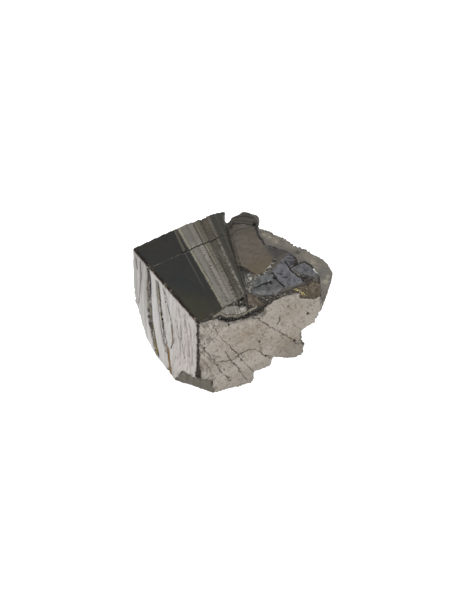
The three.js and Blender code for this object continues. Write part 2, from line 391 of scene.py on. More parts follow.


# the deep groove: a yellow-brown wall, then a black floor, and blue-black painted shadow on its near side
gap, run = beside(DEEP_GROOVE)
lower = step_down(z, 7.4, 8.6)
lift -= run * np.clip((gap + 0.8) / 0.9, 0, 1) * step_down(gap, 0.2, 0.45) * 0.2
paint(run * within(gap, -0.75, 0.7, 0.12) * 0.2, (118, 114, 110), 0.5, 0.8)
# painted shadow: blue-black on the groove's near side, wider in its lower part
painted_shadow_side = within(gap, -0.75, 0.1, 0.08) * lower + within(gap, -0.45, 0.1, 0.08) * (1 - lower) * 0.8
paint(run * painted_shadow_side, (30, 32, 44), 0.4, 0.3)
paint(run * within(gap, -0.25, 0.36, 0.07), (16, 14, 12), 0.7, 0.2)
grey_floor = within(gap, -0.2, 0.3, 0.1) * step_up(fine, 0.1, 0.3) * (1 - lower)
paint(run * grey_floor * 0.25, (110, 108, 106), 0.5, 0.6)
paint(run * lower * within(gap, 0.12, 0.62, 0.07), (118, 105, 66), 0.6, 0.6)
paint(run * (1 - lower) * within(gap, 0.38, 0.52, 0.06), (96, 84, 62), 0.5, 0.6)
paint(run * within(z, 12.2, 14.0, 0.3) * within(gap, -0.5, 0.5, 0.15), (18, 15, 14), 0.6, 0.3)
# the middle groove: a dark line with a yellow-brown far side and hatched painted shade on its near side,
# wide and orange-brown at the foot
gap, run = beside(MIDDLE_GROOVE)
lift -= run * np.clip((gap + 0.5) / 0.6, 0, 1) * step_down(gap, 0.1, 0.3) * 0.15
hatching = step_up(grain(face_places, (1.6, 1.5, 0.0), 35.0), -0.15, 0.15)
foot = step_down(z, 3.6, 4.6)
# painted shade: hatched blue-grey on the near side of the groove
paint(run * within(gap, -0.8, -0.1, 0.12) * (0.15 + 0.5 * hatching), (76, 76, 84), 0.45, 0.7)
paint(run * within(gap, -0.18, 0.1, 0.06), (20, 17, 15), 0.7, 0.2)
paint(run * within(gap, 0.12, 0.3, 0.06) * (0.4 + 0.5 * hatching), (112, 101, 76), 0.5, 0.6)
paint(run * foot * within(gap, -0.35, 0.3, 0.08), (118, 92, 50), 0.6, 0.6)
paint(run * foot * (within(gap, -0.55, -0.35, 0.07) + within(gap, 0.3, 0.42, 0.06)), (26, 22, 18), 0.6, 0.3)
# the nearer groove: ragged, with hatched painted shade on its near side and a short yellow-brown wall where
# it ends
gap, run = beside(NEAR_GROOVE)
lift -= run * np.clip((gap + 0.5) / 0.6, 0, 1) * step_down(gap, 0.1, 0.3) * 0.12
# painted shade: hatched grey on the near side of the groove
paint(run * within(gap, -0.7, -0.1, 0.12) * hatching * 0.45, (74, 72, 76), 0.45, 0.7)
paint(run * within(gap, -0.16, 0.14, 0.06) * (0.5 + 0.5 * hatching), (26, 22, 19), 0.6, 0.2)
paint(run * within(z, 5.5, 8.4, 0.4) * within(gap, 0.05, 0.3, 0.08) * 0.8, (104, 84, 56), 0.6, 0.6)
faint = left * step_down(nearest_line(from_edge + sway, z, FAINT_GROOVES), 0.06, 0.24)
lift -= faint * 0.12
paint(faint * (0.8 - 0.45 * near_lath), (76, 74, 80), 0.45, 0.8)

# ---- The front face ------------------------------------------------------
# A duller, pinkish split face with rusty stains, crossed by hair-thin cracks.
# Beside the near edge it breaks up into small steep scales.

# directions on the face: the scales stand steeply, the brushing rises to the right
slant_places = np.column_stack([0.87 * x + 0.5 * z, 0.5 * x - 0.87 * z, y * 0])
slope_places = np.column_stack([0.94 * x + 0.34 * z, 0.94 * z - 0.34 * x, y * 0])
scales = grain(slant_places, (2.4, 0.8, 0.0), 41.0)
brushing = grain(slope_places, (0.6, 4.2, 0.0), 42.0)
blotches = grain(slope_places, (0.28, 0.45, 0.0), 43.0)
beside_edge = front * step_down(x + wander * 6, -3.9, -1.2)
lift += beside_edge * scales * 0.1 + front * (brushing * 0.02 + blotches * 0.05)
specks = grain(points, 4.4, 48.0)
paint(front, (141, 135, 126), 0.42, 0.88)
paint(front * step_up(z - x, 9.5, 12.5) * 0.7, (150, 144, 136), 0.4, 0.9)
paint(front * step_up(blotches, 0.0, 0.4) * 0.4, (150, 145, 138), 0.38, 0.9)
paint(front * step_up(-blotches, 0.1, 0.4) * 0.4, (122, 115, 104), 0.45, 0.85)
# two rusty stains
stained = np.exp(-(((x - 2.2) / 2.6) ** 2 + ((z - 9.6) / 1.7) ** 2))
stained += np.exp(-(((x - 7.5) / 2.4) ** 2 + ((z - 6.5) / 1.8) ** 2)) * 0.8
paint(front * stained * (0.35 + 0.6 * step_up(brushing, -0.1, 0.3)), (126, 113, 96), 0.5, 0.8)
paint(front * stained * step_up(brushing, 0.22, 0.45) * 0.7, (108, 90, 70), 0.6, 0.6)
paint(beside_edge * step_up(scales, 0.08, 0.3) * 0.6, (92, 85, 77), 0.55, 0.6)
paint(front * step_up(scales, 0.28, 0.45) * 0.45, (104, 96, 86), 0.55, 0.6)
paint(front * step_up(specks, 0.46, 0.58) * 0.6, (70, 62, 54), 0.6, 0.8)
# painted shade: greyer towards the lower right and along the foot, and darker round the face's edges where
# they round away
paint(front * step_up(x, 6.5, 9.0) * step_up(6.5 - z, 0.0, 1.2) * 0.5, (112, 106, 98), 0.5, 0.7)
foot_edge = front * step_down(z - 0.62 * x, 0.2, 1.4) * step_up(x, -3.0, -2.0)
paint(foot_edge * 0.35, (112, 106, 98), 0.5, 0.7)
paint(border(front) * 0.8, (66, 59, 51), 0.55, 0.8)
scaly = front * (0.5 + 0.5 * step_down(x + wander * 4, -3.4, -0.4))  # where it draws dark scales

BROWN_BLACK = ((22, 18, 15), 0.7, 0.2)  # the finish inside the cracks and pits
gap = nearest_line(x + wander * 2, z + wander * 2, FRONT_CRACKS)
broken_line = 0.55 + 0.45 * step_up(grain(points, 1.1, 44.0), -0.2, 0.25)
crack = front * step_down(gap, 0.02, 0.095) * broken_line
relief(crack, -0.1, *BROWN_BLACK, 0.95)
for across, height, width in FRONT_PITS:
    pit = front * step_down(np.hypot(x - across, (z - height) * 0.8) + wander, width * 0.5, width)
    relief(pit, -0.2, *BROWN_BLACK)

# the dark, chipped line where the two upright faces meet
gap = np.hypot(x - NEAR_EDGE[0], y - NEAR_EDGE[1]) + wander * 1.5
width = 0.16 + 0.3 * step_down(z, 3.5, 7.0) + 0.12 * step_up(crumbs, 0.0, 0.25)
seam = step_down(gap, width, width + 0.14) * step_down(z, 13.8, 14.0) * step_up(z, 2.2, 2.5)
chipped = step_up(grain(points, (0.8, 0.8, 2.2), 45.0), -0.1, 0.15)
lift -= seam * (0.04 + 0.16 * chipped)
paint(seam, (30, 24, 18), 0.7, 0.1)
paint(seam * step_up(grain(points, 3.5, 46.0), 0.3, 0.45) * 0.4, (104, 94, 82), 0.4, 0.8)

# the small facet that took the foot of the near edge
FACET = [(-8.6, -0.2), (-8.0, 0.9), (-7.0, 3.1), (-6.2, 2.1), (-4.7, 1.9), (-2.85, 2.3), (-2.6, -0.2)]
low_near_edge = (y < -9.8) & (normals[:, 2] > -0.6)
facet = low_near_edge * inside(FACET, 0.12, x + wander * 0.5, z + wander * 0.5)
facet_rows = grain(points, (3.0, 3.0, 0.3), 47.0)
lift += facet * facet_rows * 0.05
# painted shade: the downward facet is painted greyer and darker than the front face, for the shade it
# mirrors from below
paint(facet, (96, 91, 82), 0.42, 0.75)
streaky *= 1 - facet
scaly *= 1 - facet
paint(facet * step_up(facet_rows, 0.1, 0.4) * 0.6, (80, 75, 66), 0.5, 0.6)
paint(border(facet), (40, 34, 28), 0.6, 0.9)

# ---- The glassy slab -----------------------------------------------------
# The left of the top is a black glassy plate. A pale hairline and two fine
# parallel lines are drawn across it, and its rim is thin, brown and chipped.

# fan of ribs: 0 where the glassy slab ends, 1 at the edge of the valley
rib_start = -8.1 - 0.358 * (y - 8.5)
rib_end = -2.1 - 0.276 * (y - 7.1)
across = x + wander * 0.5
rib = (across - rib_start) / (rib_end - rib_start)
right_of_ribs = step_up(rib, 1.0, 1.03)
clouds = grain(points, 0.22, 51.0)
slab = top * step_down(rib, -0.008, 0.008)
paint(slab, (43, 43, 41), 0.14, 0.0)
paint(slab * step_up(y - x * 0.3, 4.0, 9.5) * 0.8, (44, 42, 38), 0.2, 0.0)
paint(slab * step_down(y + x * 0.4, -13.0, -8.0), (50, 49, 41), 0.16, 0.0)
paint(slab * step_up(clouds, 0.0, 0.5) * 0.5, (40, 42, 44), 0.12, 0.0)
dust = grain(points, 5.5, 52.0)
first, second = (line_gap(x, y, line) for line in SLAB_LINES)
ends = np.interp(y, [-7.0, -4.0, 2.0, 3.0], [0.05, 0.25, 0.35, 0.7])
paint(slab * step_down(first, 0.02, 0.07) * ends, (122, 117, 102), 0.4, 0.2)
paint(slab * step_down(second, 0.02, 0.07) * 0.6, (104, 99, 84), 0.4, 0.2)
ribbon = slab * step_up(y, 3.0, 3.4) * step_down(first + second, 0.26, 0.34)
paint(ribbon * 0.5, (76, 72, 62), 0.3, 0.2)
dotted = step_up(grain(points, 2.6, 53.0), -0.15, 0.1)
hairline = top * step_down(line_gap(x, y, HAIRLINE), 0.02, 0.07)
paint(hairline * (0.08 + 0.37 * dotted), (124, 118, 102), 0.5, 0.2)
behind_left = (near_point - points) @ left_out
rim_gap = np.abs(z - TOP) + np.abs(behind_left)
RIM_LENGTH = 20.3  # in mm, from the near edge almost to the far corner
left_rim = step_down(rim_gap + wander * 2, 0.2, 0.42) * (from_edge > 0) * (from_edge < RIM_LENGTH)
chips = step_up(grain(points, 1.1, 54.0), 0.12, 0.3)
lift -= left_rim * chips * 0.12
paint(left_rim, (40, 32, 26), 0.5, 0.8)
for place in (15.2, 14.2, 10.2, 8.3, 0.9):  # chips in the rim, in mm from the near edge
    chip = left_rim * step_down(np.abs(from_edge - place), 0.2, 0.5)
    lift -= chip * 0.2
    paint(chip * step_up(dust, -0.1, 0.2) * 0.7, (112, 92, 78), 0.4, 0.7)

# ---- The ribs ------------------------------------------------------------
# Beside the slab the glass is stepped in long ribs that close up to the
# front, each with its own height and shine. One crack crosses them all.

RIBS = [  # start and end across the fan, height in mm, shade, roughness, metallic
    (0.00, 0.085, -0.06, (128, 124, 109), 0.45, 0.5),
    (0.085, 0.10, -0.15, (70, 67, 56), 0.5, 0.1),
    (0.10, 0.25, -0.02, (124, 120, 114), 0.42, 0.6),
    (0.25, 0.315, -0.05, (110, 106, 99), 0.45, 0.55),
    (0.315, 0.335, -0.14, (66, 62, 54), 0.5, 0.2),
    (0.335, 0.475, -0.08, (134, 129, 121), 0.48, 0.65),
    (0.475, 0.54, -0.22, (66, 62, 52), 0.55, 0.2),
    (0.54, 0.70, -0.14, (98, 94, 82), 0.5, 0.45),
    (0.70, 0.785, -0.34, (46, 44, 36), 0.5, 0.1),
    (0.785, 0.93, -0.26, (60, 58, 48), 0.45, 0.2),
    (0.93, 1.00, -0.04, (84, 81, 73), 0.5, 0.4),
]
slab_edge = top * step_up(rib, -0.008, 0.008)
rib_places = np.column_stack([rib * 6, y, y * 0])
threads = grain(rib_places, (4.2, 0.16, 0.0), 61.0)
roughening = grain(points, 2.8, 62.0)
speckles = grain(points, 5.2, 63.0)
for start, end, height, shade, roughness, metallic in RIBS:
    relief(slab_edge * within(rib, start, end, 0.008), height, shade, roughness, metallic)
ribs = slab_edge * (1 - right_of_ribs)
lift += ribs * (threads * 0.05 + roughening * 0.04)
paint(ribs * step_up(threads, 0.15, 0.45) * 0.4, (70, 66, 56), 0.5, 0.3)
paint(ribs * step_up(-threads, 0.15, 0.45) * 0.35, (132, 128, 119), 0.4, 0.5)
pock_marks = grain(np.column_stack([x + y * 0.5, y - x * 0.5, z]), (1.6, 3.8, 2.0), 64.0)
pocked = ribs * within(rib, 0.30, 0.70, 0.04) * step_down(y, 2.5, 4.5) * step_up(pock_marks, 0.06, 0.16)
lift -= pocked * 0.05
paint(pocked * (0.25 + 0.75 * step_up(speckles, -0.1, 0.15)), (38, 34, 28), 0.6, 0.0)
lit_thread = ribs * within(rib, 0.55, 0.57, 0.008) * step_up(y, -1.0, 1.5)
paint(lit_thread, (140, 135, 120), 0.4, 0.4)
ridge = ribs * within(rib + wander * 0.05, 0.945, 0.985, 0.012) * (1 - 0.6 * step_up(y, 5.0, 7.0))
paint(ridge * step_up(speckles, 0.05, 0.22), (146, 142, 134), 0.4, 0.5)
paint(ridge * step_up(-speckles, 0.05, 0.25), (50, 48, 42), 0.5, 0.1)
browner = ribs * step_up(y, 3.5, 6.5) * within(rib, 0.46, 1.05, 0.04)
paint(browner * 0.5, (70, 63, 54), 0.5, 0.25)
paint(ribs * step_up(y, 3.0, 6.0) * within(rib, 0.1, 0.46, 0.04) * 0.5, (92, 89, 82), 0.5, 0.4)
pale_front = ribs * step_down(y, -3.5, 1.0) * within(rib, 0.36, 0.62, 0.05)
paint(pale_front * 0.5, (130, 125, 117), 0.45, 0.6)
paint(ribs * step_up(-y, 5.0, 8.5) * step_up(roughening, 0.0, 0.3) * 0.5, (128, 124, 118), 0.4, 0.5)
frayed = ribs * step_up(-y - 0.35 * x, 7.0, 9.4) * step_up(crumbs, -0.1, 0.2)
paint(frayed * 0.6, (60, 56, 50), 0.6, 0.2)
cross_ripples = np.sin(y * 11.0 + x * 3.0 + wander * 26)
ribbed = top * within(rib, 0.72, 1.35, 0.03) * step_up(roughening, -0.35, 0.15)
lift += ribbed * cross_ripples * 0.015
paint(ribbed * step_up(cross_ripples, 0.1, 0.9) * 0.22, (96, 92, 80), 0.4, 0.3)

# the ribs stand a little higher just behind the crack that crosses them
crack_x, crack_y = zip(*MAIN_CRACK)
behind_crack = y - np.interp(x, crack_x, crack_y)
lift += ribs * step_up(behind_crack, -0.05, 0.05) * step_down(behind_crack, 0.6, 2.0) * 0.08

# ---- The valley and the brown slab ---------------------------------------
# A dark cross-rippled valley bounds the ribs. Right of it a dull brown plate
# rises to the horn at the back, with faint ripples and a few pin pricks.

VALLEY_EDGE = [(-8.0, 2.9), (-3.0, 3.0), (-2.3, 2.9), (0.0, 1.2), (2.0, 1.05), (6.0, 0.35), (9.2, -0.35)]
edge_y, edge_x = zip(*VALLEY_EDGE)
valley_right = np.interp(y, edge_y, edge_x)
paint(top * right_of_ribs, (66, 61, 54), 0.5, 0.05)
valley = top * right_of_ribs * step_down(x + wander, valley_right - 0.1, valley_right + 0.15)
paint(valley, (45, 44, 39), 0.45, 0.05)
paint(valley * step_up(cross_ripples, 0.2, 0.9) * 0.3, (70, 68, 60), 0.45, 0.1)
paint(valley * step_up(threads, 0.2, 0.5) * 0.5, (30, 29, 26), 0.45, 0.0)
paint(valley * within(rib, 1.17, 1.21, 0.02) * 0.5, (74, 71, 64), 0.4, 0.2)

BROWN_SLAB = [
    (-0.3, 9.1), (0.05, 7.0), (0.4, 4.3), (1.0, 0.2), (2.1, -1.3), (2.9, -2.4), (3.35, -3.7), (4.9, -2.7),
    (5.7, -1.5), (6.4, -0.3), (7.2, 0.8), (9.0, 1.9), (7.3, 2.8), (5.2, 4.2), (4.4, 6.5), (3.9, 8.1),
]
brown_slab = top * inside(BROWN_SLAB)
plate_waves = np.sin((x * 0.55 + y) * 4.2 + wander * 14 + clouds * 4)
plate_spots = grain(points, 1.6, 73.0)
lift += brown_slab * (plate_waves * 0.01 + grain(points, 0.7, 71.0) * 0.05)
paint(brown_slab, (78, 72, 64), 0.48, 0.05)
paint(brown_slab * step_up(y + 0.2 * x, 5.6, 7.4) * 0.7, (66, 61, 54), 0.48, 0.05)
paint(brown_slab * step_up(plate_waves, 0.2, 0.9) * 0.2, (96, 89, 80), 0.42, 0.2)
paint(brown_slab * step_up(plate_spots, 0.05, 0.3) * 0.4, (60, 55, 49), 0.5, 0.05)
paint(brown_slab * step_down(y - 0.5 * x, -3.5, 0.0) * 0.7, (80, 71, 56), 0.45, 0.1)
paint(brown_slab * step_up(x + 0.35 * y + wander * 4, 5.6, 7.0) * 0.8, (50, 49, 50), 0.4, 0.1)
for across, along in ((2.9, 2.1), (2.3, 0.5), (3.5, -0.5), (5.0, -0.9), (6.3, -3.0), (4.2, 1.6)):
    pit = brown_slab * step_down(np.hypot(x - across, (y - along) * 0.7) + wander, 0.04, 0.16)
    relief(pit, -0.1, (48, 44, 38), 0.6, 0.1, 0.8)
# the dark foot of the brown plate
FOOT_LINES = [[(0.6, 0.4), (1.6, -1.0), (2.7, -2.4), (3.5, -3.1)], [(0.9, -0.8), (1.9, -1.8), (2.9, -2.9)]]
foot = top * step_down(gap_on_top(*FOOT_LINES), 0.05, 0.18)
relief(foot, -0.12, (36, 34, 30), 0.5, 0.1)

# the horn, the lines of its layers and a hole beside it
HORN = [(-0.9, 9.7), (-0.3, 8.6), (0.7, 8.9), (2.0, 8.8), (3.5, 8.4), (5.0, 9.0), (4.0, 13.0), (0.0, 13.0)]
horn = top * inside(HORN) * (1 - ribs)
paint(horn, (50, 47, 42), 0.5, 0.0)
paint(horn * step_up(grain(points, (0.5, 1.6, 1.0), 72.0), 0.0, 0.4) * 0.5, (68, 64, 57), 0.5, 0.05)
layer_line = top * step_down(gap_on_top(*HORN_LINES), 0.06, 0.2)
relief(layer_line, -0.06, (24, 21, 18), 0.6, 0.0, 0.9)
hole = top * step_down(np.hypot(x - 3.7, y - 8.6) + wander, 0.25, 0.5)
relief(hole, -0.3, (16, 14, 12), 0.8, 0.0)

# the crack that runs from the slab through the ribs to the horn
BLACK_SPLIT = ((14, 12, 10), 0.7, 0.0)
crack = top * step_down(gap_on_top(MAIN_CRACK), 0.06 + 0.05 * step_up(crumbs, 0.0, 0.3), 0.16)
crack *= 1 - 0.4 * step_up(x, -1.6, -0.6)  # fainter right of the ribs
relief(crack, -0.16, *BLACK_SPLIT)
slab_end = gap_on_top([(-8.9, 1.5), (-7.3, 2.55), (-6.4, 3.15)])
paint(slab * step_down(slab_end, 0.03, 0.12), *BLACK_SPLIT)

# ---- The blue-grey blocks ------------------------------------------------
# The right of the plateau is chipped into small glassy blocks with a cold
# blue sheen. Each sits at its own height, and dark cuts run between them.

PLATEAU_RIM = [
    (3.9, 8.1), (4.1, 6.3), (4.6, 5.0), (5.1, 3.7), (6.1, 3.3), (7.3, 2.4), (8.4, 1.9), (9.8, 0.0),
    (9.4, -0.9), (10.9, -0.3), (11.8, -1.3), (12.8, -2.8), (13.1, -3.7), (13.1, -6.6),
]
BLOCKS = [  # outline, height in mm, shade
    ([(3.2, -4.5), (4.5, -3.3), (6.1, -2.2), (6.5, -3.6), (5.9, -4.4), (4.9, -4.9), (3.4, -5.8)],
     0.05, (76, 77, 77)),
    ([(3.4, -5.8), (4.9, -4.9), (6.0, -4.4), (6.5, -3.6), (7.9, -5.9), (6.6, -7.5), (3.1, -7.2)],
     -0.1, (62, 62, 62)),
    ([(6.1, -2.2), (7.1, -0.8), (8.0, -0.1), (9.0, -2.6), (10.9, -4.7), (8.9, -6.0), (7.9, -5.9),
      (6.9, -4.5)], 0.0, (82, 82, 86)),
    ([(7.1, -0.8), (8.2, 0.9), (9.0, 1.6), (10.1, 0.2), (9.7, -0.9), (8.9, -1.5), (8.2, -1.0)],
     0.08, (52, 51, 56)),
    ([(8.9, -1.5), (10.0, -0.8), (11.0, -0.2), (13.0, -2.7), (12.8, -4.0), (10.5, -3.2)],
     0.02, (74, 74, 77)),
]
chopped = grain(points, (2.2, 1.1, 1.6), 81.0)
for outline, height, shade in BLOCKS:
    block = top * inside(outline, 0.07)
    relief(block, height, shade, 0.42, 0.05)
    paint(block * step_up(chopped, 0.05, 0.3) * 0.4, tuple(c + 22 for c in shade), 0.42, 0.1)
    paint(block * step_up(-chopped, 0.15, 0.4) * 0.7, tuple(c - 34 for c in shade), 0.42, 0.05)
# what the blocks share: their stripes, their chips and the cuts between them
ALL_BLOCKS = [
    (3.0, -4.4), (5.9, -1.8), (9.0, 1.6), (11.0, 0.0), (13.2, -2.6), (12.9, -4.3), (8.9, -6.3), (3.1, -7.4),
]
blocks = top * inside(ALL_BLOCKS)
striped = np.sin((x + y * 0.75) * 15.0 + wander * 24)
lift += blocks * (chopped * 0.05 + striped * 0.01 + crumbs * 0.05)
paint(blocks * step_up(striped, 0.2, 1.0) * 0.4, (106, 107, 109), 0.4, 0.1)
paint(blocks * step_up(-striped, 0.3, 1.0) * 0.4, (44, 44, 46), 0.5, 0.0)
paint(blocks * step_up(pock_marks, 0.25, 0.4) * 0.5, (44, 43, 44), 0.45, 0.1)
cuts = gap_on_top(*BLOCK_CUTS)
cut = top * step_down(cuts, 0.05, 0.15)
relief(cut, -0.2, (22, 20, 19), 0.6, 0.0)
lit_edges = blocks * within(cuts, 0.16, 0.3, 0.05) * step_up(speckles, 0.0, 0.2)
paint(lit_edges * 0.6, (120, 120, 118), 0.4, 0.4)
# the ragged edge where they meet the brown plate
BACK_EDGE = [(3.35, -4.0), (4.0, -3.3), (4.9, -2.8), (5.5, -1.9), (5.8, -1.4), (6.4, -0.4), (6.7, 0.0)]
back_edge = top * step_down(line_gap(x + wander * 3, y + wander * 3, BACK_EDGE), 0.06, 0.26)
paint(back_edge * step_up(speckles, 0.06, 0.22) * 0.9, (136, 136, 130), 0.4, 0.4)
paint(back_edge * step_up(-speckles, 0.0, 0.15), (24, 23, 21), 0.5, 0.0)
DARK_CHIPS = [
    (6.4, -0.2), (6.1, -2.7), (6.35, -3.6), (5.8, -4.7), (5.2, -5.0), (7.3, -4.7), (8.0, -3.6), (7.2, -2.9),
]
for across, along in DARK_CHIPS:
    chip = top * step_down(np.hypot((x - across) * 0.8, y - along) + wander * 3, 0.1, 0.32)
    relief(chip, -0.15, (22, 21, 20), 0.5, 0.0)
# the dark rim of the plateau, a cavity beside it and one painted glint along an edge
rim_line = top * step_down(gap_on_top(PLATEAU_RIM), 0.14, 0.4)
lift -= rim_line * 0.1 * step_up(crumbs, -0.1, 0.2)
paint(rim_line, (30, 26, 22), 0.6, 0.0)
# painted shadow: the cavity below the finger block is cut in and painted near black, with pale specks
cavity_shade = top * inside([(10.3, -3.1), (11.2, -3.5), (12.2, -4.1), (11.4, -5.0), (10.4, -4.6)], 0.15)
relief(cavity_shade, -0.35, (28, 25, 22), 0.5, 0.1)
paint(cavity_shade * step_up(speckles, 0.2, 0.35) * 0.6, (110, 104, 96), 0.3, 0.5)
# painted highlight: a near-white glint along the block's edge
painted_edge_glint = top * step_down(line_gap(x, y, [(12.2, -2.2), (12.8, -3.0)]), 0.06, 0.18)
paint(painted_edge_glint, (205, 203, 198), 0.3, 0.6)
# the glittering patch between the valley and the blocks
pale_patch = top * inside([(2.0, -2.9), (2.8, -2.5), (3.2, -4.3), (2.8, -7.2), (2.1, -5.7)])
paint(pale_patch * 0.5, (96, 94, 88), 0.35, 0.4)
paint(pale_patch * step_up(speckles, 0.12, 0.3), (142, 140, 133), 0.4, 0.35)
paint(pale_patch * step_up(-speckles, 0.1, 0.3), (46, 44, 40), 0.4, 0.2)

# ---- The broken front of the top -----------------------------------------
# Between the top and the front face the edge is smashed: a shell-shaped chip
# with a pale floor and lip, a black crevice, and a rusty hollow at the right.

BAND = [
    (-4.6, -14.4), (-3.2, -12.6), (-0.8, -10.4), (0.6, -9.1), (1.8, -8.0), (2.2, -7.0), (3.1, -7.6),
    (4.7, -7.6), (6.6, -7.2), (7.9, -6.9), (8.9, -6.5), (9.6, -5.9), (11.0, -5.2), (13.4, -4.6),
    (13.4, -7.0), (10.0, -8.4), (7.4, -9.5), (4.9, -10.6), (0.5, -12.5), (-2.6, -13.6),
]
face_up = step_up(normals[:, 2], 0.05, 0.35) * step_up(z, 12.0, 12.4)
band = face_up * inside(BAND, 0.15) * (1 - front)
walls = inside(BAND, 0.15) * step_up(z, 12.0, 12.4) * (1 - front)
paint(walls, (30, 26, 22), 0.6, 0.0)
lift += band * (crumbs * 0.2 + speckles * 0.04)
paint(band, (34, 30, 25), 0.55, 0.05)
paint(band * step_up(crumbs, 0.12, 0.35) * 0.5, (66, 60, 51), 0.5, 0.1)
paint(band * step_up(-crumbs, 0.2, 0.4) * 0.5, (60, 44, 32), 0.6, 0.1)
# painted glints: pale specks scattered over the broken band
paint(band * step_up(speckles, 0.44, 0.52) * 0.8, (150, 146, 136), 0.4, 0.3)
paint(band * step_up(-speckles, 0.2, 0.4) * 0.8, (16, 13, 11), 0.7, 0.0)
# the shell-shaped chip, its pale lip and the crevice under it
SHELL = [(-2.0, -12.2), (-0.7, -10.5), (0.6, -9.7), (2.2, -9.3), (2.3, -10.0), (0.6, -10.9), (-0.7, -11.7)]
shell = face_up * inside(SHELL, 0.1)
lift -= shell * band * crumbs * 0.17
paint(shell, (120, 116, 109), 0.5, 0.4)
paint(shell * step_up(crumbs, 0.0, 0.3) * 0.3, (130, 126, 119), 0.5, 0.4)
paint(shell * step_up(speckles, 0.2, 0.4) * 0.3, (92, 88, 80), 0.5, 0.3)
LIP = [(-2.4, -12.9), (-1.7, -12.1), (-0.7, -11.85), (0.6, -11.1), (2.2, -10.3), (3.5, -9.9), (4.3, -9.0)]
lip_gap = gap_on_top(LIP)
lip = face_up * step_down(lip_gap, 0.08, 0.2)
lift += lip * (0.1 - band * crumbs * 0.17)
paint(face_up * step_down(lip_gap, 0.26, 0.36) * 0.8, (46, 41, 34), 0.5, 0.1)
paint(lip, (118, 112, 99), 0.45, 0.4)
CREVICE = [
    (-1.5, -12.9), (-0.7, -12.5), (0.5, -11.75), (2.6, -10.85), (3.9, -10.45), (4.8, -9.9), (5.2, -9.2),
]
crevice = step_down(gap_on_top(CREVICE), 0.34, 0.5) * step_up(z, 11.9, 12.2)
crevice *= step_up(normals[:, 2], -0.1, 0.2)
relief(crevice, -0.35, (13, 11, 9), 0.7, 0.0)
# painted glints: pale specks in the black crevice
paint(crevice * step_up(speckles, 0.5, 0.56) * 0.8, (160, 158, 152), 0.35, 0.3)
# the dark edge above the front face
FRONT_RIM = [  # x and height where the smooth front face ends
    (-4.3, 13.8), (-2.2, 13.95), (-1.0, 13.0), (0.6, 12.65), (2.6, 12.5), (4.0, 12.55), (4.8, 12.95),
    (4.9, 13.7), (5.5, 14.0), (6.0, 14.4), (7.2, 14.75), (9.0, 14.9),
]
rim_x, rim_z = zip(*FRONT_RIM)
rim_height = np.interp(x, rim_x, rim_z)
over_rim = front * step_up(z - rim_height + wander * 2, -0.22, 0.0) * step_up(9.3 - x, 0.0, 0.4)
paint(over_rim, (30, 25, 21), 0.6, 0.0)
# painted glints: pale specks along the dark edge
paint(over_rim * step_up(speckles, 0.42, 0.5) * 0.7, (140, 136, 128), 0.4, 0.3)
bruised = front * step_down(np.hypot(x - 4.4, z - 12.9) + wander * 3, 0.5, 1.1)
paint(bruised * step_up(crumbs, -0.1, 0.15) * 0.6, (44, 35, 27), 0.6, 0.3)
# two pieces that stick up out of the broken edge
FIN = [(2.3, -7.6), (3.6, -7.7), (5.0, -8.9), (4.6, -9.5), (3.4, -9.7), (2.4, -9.3)]
fin = face_up * inside(FIN, 0.08)
relief(fin, 0.15, (71, 63, 52), 0.5, 0.1)
paint(border(fin), (20, 17, 14), 0.6, 0.0)
SLIVER = [(5.0, -8.2), (6.1, -7.9), (8.2, -7.1), (7.4, -8.2), (6.2, -8.9), (5.3, -8.9)]
sliver = face_up * inside(SLIVER, 0.08)
relief(sliver, 0.12, (108, 101, 87), 0.5, 0.3)
paint(border(sliver) * 0.7, (24, 20, 17), 0.6, 0.0)
# the rusty hollow
HOLLOW = [
    (9.6, -6.0), (10.9, -5.2), (11.9, -4.4), (13.2, -4.5), (13.2, -6.6), (11.6, -7.3), (10.3, -7.9),
    (9.4, -7.7),
]
hollow = face_up * inside(HOLLOW, 0.12)
lift += hollow * crumbs * 0.1
lift -= hollow * band * crumbs * 0.2
paint(hollow, (72, 63, 50), 0.5, 0.1)
paint(hollow * step_up(crumbs, 0.1, 0.35) * 0.5, (94, 85, 71), 0.5, 0.2)
paint(hollow * step_up(-crumbs, 0.1, 0.4) * 0.6, (48, 39, 28), 0.5, 0.1)
paint(hollow * step_up(speckles, 0.5, 0.6) * 0.5, (140, 132, 112), 0.4, 0.3)
paint(border(hollow) * 0.7, (34, 27, 21), 0.6, 0.1)

# ---- The ledge behind the plateau ----------------------------------------
# A lower, lumpy shelf runs round the back and the right of the plateau, paler
# along its outer edge.

shelf = step_up(normals[:, 2], 0.5, 0.75) * within(z, 9.0, 12.2, 0.3) * step_up(x, 2.6, 3.2)
lumps = grain(points, 0.55, 91.0)
lift += shelf * (lumps * 0.12 + crumbs * 0.05)
paint(shelf, (90, 85, 78), 0.55, 0.15)
paint(shelf * step_up(lumps, 0.0, 0.35) * 0.6, (108, 102, 93), 0.55, 0.2)
paint(shelf * step_up(-lumps, 0.1, 0.35) * 0.6, (68, 68, 70), 0.5, 0.1)
paint(shelf * step_up(x, 11.5, 13.5) * 0.35, (110, 105, 97), 0.5, 0.2)
paint(shelf * step_up(crumbs, 0.15, 0.35) * 0.4, (62, 58, 52), 0.5, 0.1)
PALE_SPOTS = [(5.0, 10.2, 0.5), (5.9, 9.7, 0.4), (14.2, 0.6, 0.7), (14.5, 1.9, 0.5), (12.3, 5.0, 0.5)]
for across, along, size in PALE_SPOTS:
    pale = shelf * step_down(np.hypot(x - across, y - along) + wander * 3, size * 0.5, size)
    paint(pale * 0.7, (136, 129, 116), 0.5, 0.2)
outer_edge = shelf * step_up(x * 0.5 + y, 11.6, 12.6)
paint(outer_edge * step_up(crumbs, -0.2, 0.1) * 0.4, (124, 118, 106), 0.5, 0.3)
dark_spot = shelf * step_down(np.hypot(x - 10.1, y - 6.8) + wander, 0.15, 0.4)
